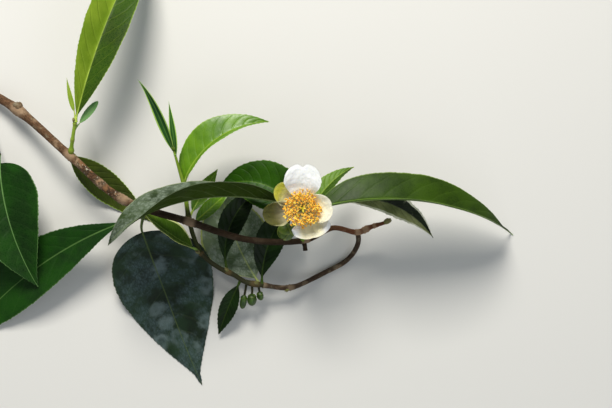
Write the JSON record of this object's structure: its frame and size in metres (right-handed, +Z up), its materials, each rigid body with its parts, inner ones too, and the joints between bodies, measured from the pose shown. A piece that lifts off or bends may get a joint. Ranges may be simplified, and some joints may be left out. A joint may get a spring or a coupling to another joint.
{
  "type": "flowering tea branch",
  "caption": "Flowering tea branch lying down: a bent woody stem with leafy shoots, long drooping leaves, an open white flower, a round bud and hanging young fruit.",
  "frame": {"origin": "on the surface that the branch lies on, at the centre of its footprint", "axes": "+X along the branch from its cut foot towards the flower and the last bud, +Y across it towards the tall leaf, +Z up, the way the open flower faces"},
  "size_m": [0.2384, 0.1858, 0.053],
  "materials": {
    "bark": "rough grey-brown bark with pale leaf scars",
    "green_stem": "smooth yellow-green young bark",
    "old_leaf": "grey-green leathery leaf, mottled with pale lichen, dark underside",
    "dark_leaf": "dark green leathery leaf in shade, with pale spots",
    "leaf": "satin mid-green leaf with a pale midrib and fine teeth",
    "bright_leaf": "young yellow-green leaf, satin, with a pale midrib",
    "petal": "thin white to cream petal, matt and softly crinkled",
    "stamen": "pale threads with orange-yellow anthers",
    "bud": "waxy green bud scales and young fruit"
  },
  "bodies": {
    "root": {"branch_main": "bark", "twig_low": "bark", "twig_rise": "green_stem", "twig_upright": "green_stem", "shoot_tip": "green_stem", "shoot_left": "green_stem", "spur_foot": "green_stem", "spur_flower": "green_stem", "leaf_mottled": "old_leaf", "leaf_right": "leaf", "leaf_behind_left": "leaf", "leaf_behind_right": "bright_leaf", "leaf_curled": "old_leaf", "leaf_bright": "bright_leaf", "leaf_tall": "bright_leaf", "leaf_olive": "leaf", "leaf_broad": "dark_leaf", "leaf_corner": "dark_leaf", "leaf_hanging": "dark_leaf", "leaf_shaded": "dark_leaf", "leaf_grey": "old_leaf", "leaf_narrow": "dark_leaf", "leaf_edge": "leaf", "leaf_yellow": "bright_leaf", "leaf_pale": "bright_leaf", "leaf_low": "dark_leaf", "tip_leaf_long": "bright_leaf", "tip_leaf_short": "bright_leaf", "left_leaf_slim": "bright_leaf", "left_leaf_small": "bright_leaf", "petal_top": "petal", "petal_upper_left": "petal", "petal_lower_left": "petal", "petal_lower": "petal", "petal_right": "petal", "stamens": "stamen", "calyx": "bud", "bud_round": "bud", "fruit_round": "bud", "fruit_long": "bud", "fruit_small": "bud"}
  },
  "joints": []
}
